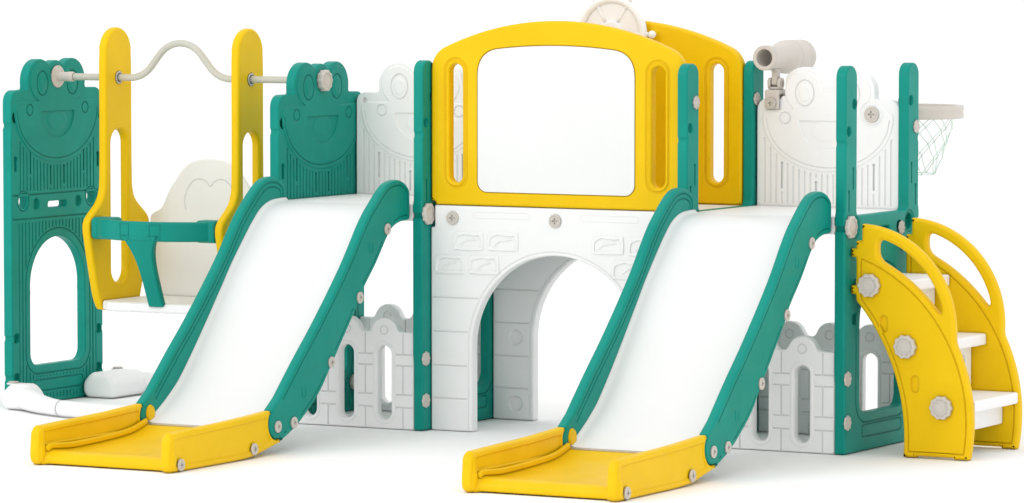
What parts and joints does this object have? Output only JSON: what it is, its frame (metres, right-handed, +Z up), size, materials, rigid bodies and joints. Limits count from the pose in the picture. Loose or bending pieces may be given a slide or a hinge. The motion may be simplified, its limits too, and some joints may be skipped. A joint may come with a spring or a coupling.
{
  "type": "toddler play set",
  "caption": "Plastic play set with a swing, slides, a tunnel bridge, stairs, a telescope, a steering wheel and a basketball hoop.",
  "frame": {"origin": "on the floor, under the middle of the whole set's bounding box", "axes": "+Z up, +X along the row from the swing to the stairs, -Y the side the slides come out"},
  "size_m": [3.281, 2.1909, 1.303],
  "materials": {
    "green": "satin blow-moulded",
    "yellow": "satin blow-moulded",
    "white": "satin blow-moulded",
    "board": "gloss write-on face",
    "sand": "satin moulded",
    "bar": "smooth coated tube",
    "net": "thin knotted cord"
  },
  "bodies": {
    "frame": {"panel_a": "green", "panel_b": "green", "panel_c": "green", "panel_e": "green", "panel_d": "green", "deck_left": "white", "deck_tunnel": "white", "deck_right": "white", "frog_left": "white", "frog_right": "white", "arch_front": "white", "arch_back": "white", "guard_front": "yellow", "guard_back": "yellow", "whiteboard": "board", "wheel_axle": "sand", "fence_left_front": "white", "fence_left_back": "white", "fence_right_front": "white", "fence_right_back": "white", "slide_left_wall_a": "green", "slide_left_wall_b": "green", "slide_left_bed": "white", "slide_left_exit": "yellow", "slide_left_exit_a": "yellow", "slide_left_exit_b": "yellow", "slide_right_wall_a": "green", "slide_right_wall_b": "green", "slide_right_bed": "white", "slide_right_exit": "yellow", "slide_right_exit_a": "yellow", "slide_right_exit_b": "yellow", "stair_near": "yellow", "stair_far": "yellow", "step_low": "white", "step_mid": "white", "step_top": "white", "stair_knobs": "sand", "swing_bar": "bar", "bar_flange": "sand", "bar_nuts": "sand", "rail_front": "white", "rail_back": "white", "scope_clamp": "sand", "hoop_rim": "sand", "hoop_net": "net", "slide_bolts": "sand", "panel_caps": "sand", "cross_bolts": "sand", "panel_knobs": "sand"},
    "swing": {"swing_side_a": "yellow", "swing_side_b": "yellow", "swing_bushes": "sand", "swing_seat": "white", "swing_back": "white", "swing_guard": "green"},
    "wheel": {"wheel": "white"},
    "yoke": {"scope_yoke": "sand"},
    "scope": {"scope_barrel": "sand"}
  },
  "joints": [
    {"name": "swing_hinge", "type": "hinge", "parent": "frame", "child": "swing", "pos_m": [-1.123, 0.4825, 1.028], "axis": [1, 0, 0], "range_deg": [-35, 35]},
    {"name": "wheel_turn", "type": "hinge", "parent": "frame", "child": "wheel", "pos_m": [0.3115, 0.6325, 1.175], "axis": [0, 1, 0], "continuous": true},
    {"name": "scope_pan", "type": "hinge", "parent": "frame", "child": "yoke", "pos_m": [0.8235, 0.6945, 1.016], "axis": [0, 0, 1], "range_deg": [-18, 8]},
    {"name": "scope_tilt", "type": "hinge", "parent": "yoke", "child": "scope", "pos_m": [0.8235, 0.6945, 1.034], "axis": [1, 0, 0], "range_deg": [-20, 20]}
  ]
}
